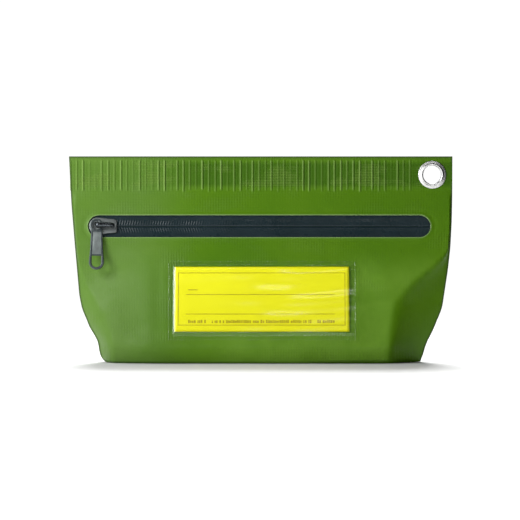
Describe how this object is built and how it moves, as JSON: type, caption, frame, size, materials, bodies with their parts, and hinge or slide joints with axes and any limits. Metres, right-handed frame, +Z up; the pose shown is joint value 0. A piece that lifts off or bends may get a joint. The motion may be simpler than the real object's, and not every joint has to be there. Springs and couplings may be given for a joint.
{
  "type": "cash deposit bag",
  "caption": "Standing welded tarpaulin pouch with a sealed ribbed top, a zip mouth in a stadium-shaped slot, a clear label pocket on the front and a corner eyelet.",
  "frame": {"origin": "bottom centre of the bag's bounding box, on the ground under the base", "axes": "+X along the bag's width, towards the eyelet; -Y out of the front, where the zip and label are; +Z up"},
  "size_m": [0.24, 0.047, 0.1286],
  "materials": {
    "green_tarpaulin": "satin PVC-coated scrim, fine woven grain under the coating",
    "black_zip_film": "satin waterproof film laminated on the zip tape",
    "black_nylon": "satin extruded nylon",
    "coil_cord_yarn": "twisted yarn",
    "gunmetal": "satin gunmetal plating, lighter on worn edges",
    "spring_steel": "bright cold-rolled strip",
    "bright_nickel": "polished nickel plate with fine scuffs",
    "clear_vinyl": "clear glossy vinyl, slightly wavy",
    "yellow_card": null
  },
  "bodies": {
    "shell": {"front_panel": "green_tarpaulin", "back_panel": "green_tarpaulin", "base_panel": "green_tarpaulin", "label_window": "clear_vinyl", "bottom_stop": "black_nylon", "eyelet_barrel": "bright_nickel", "eyelet_washer": "bright_nickel"},
    "upper_stringer": {"upper_zip_tape": "black_zip_film", "upper_coil": "black_nylon", "upper_coil_cord": "coil_cord_yarn", "upper_top_stop": "black_nylon"},
    "lower_stringer": {"lower_zip_tape": "black_zip_film", "lower_coil": "black_nylon", "lower_coil_cord": "coil_cord_yarn", "lower_top_stop": "black_nylon"},
    "slider": {"slider_body": "gunmetal", "slider_crown": "gunmetal", "slider_lock_spring": "spring_steel"},
    "pull": {"pull_tab": "gunmetal"},
    "card": {"label_card": "yellow_card"}
  },
  "joints": [
    {"name": "slider_travel", "type": "slide", "parent": "shell", "child": "slider", "axis": [1, 0, 0], "range_m": [0, 0.184]},
    {"name": "pull_swing", "type": "hinge", "parent": "slider", "child": "pull", "pos_m": [-0.1019, -0.00806, 0.08561], "axis": [0, -0.9732, 0.23], "range_deg": [-180, 50]},
    {"name": "upper_lip_swing", "type": "hinge", "parent": "shell", "child": "upper_stringer", "pos_m": [0.1, -0.00465, 0.0848], "axis": [0, -0.9732, 0.23], "range_deg": [-1, 0]},
    {"name": "lower_lip_swing", "type": "hinge", "parent": "shell", "child": "lower_stringer", "pos_m": [0.1, -0.00465, 0.0848], "axis": [0, -0.9732, 0.23], "range_deg": [0, 1]},
    {"name": "card_slide", "type": "slide", "parent": "shell", "child": "card", "axis": [1, 0, 0], "range_m": [0, 0.115]}
  ],
  "couplings": [
    {"joint": "upper_lip_swing", "follows": "slider_travel", "rad_per_m": -0.094755},
    {"joint": "lower_lip_swing", "follows": "slider_travel", "rad_per_m": 0.094755}
  ]
}
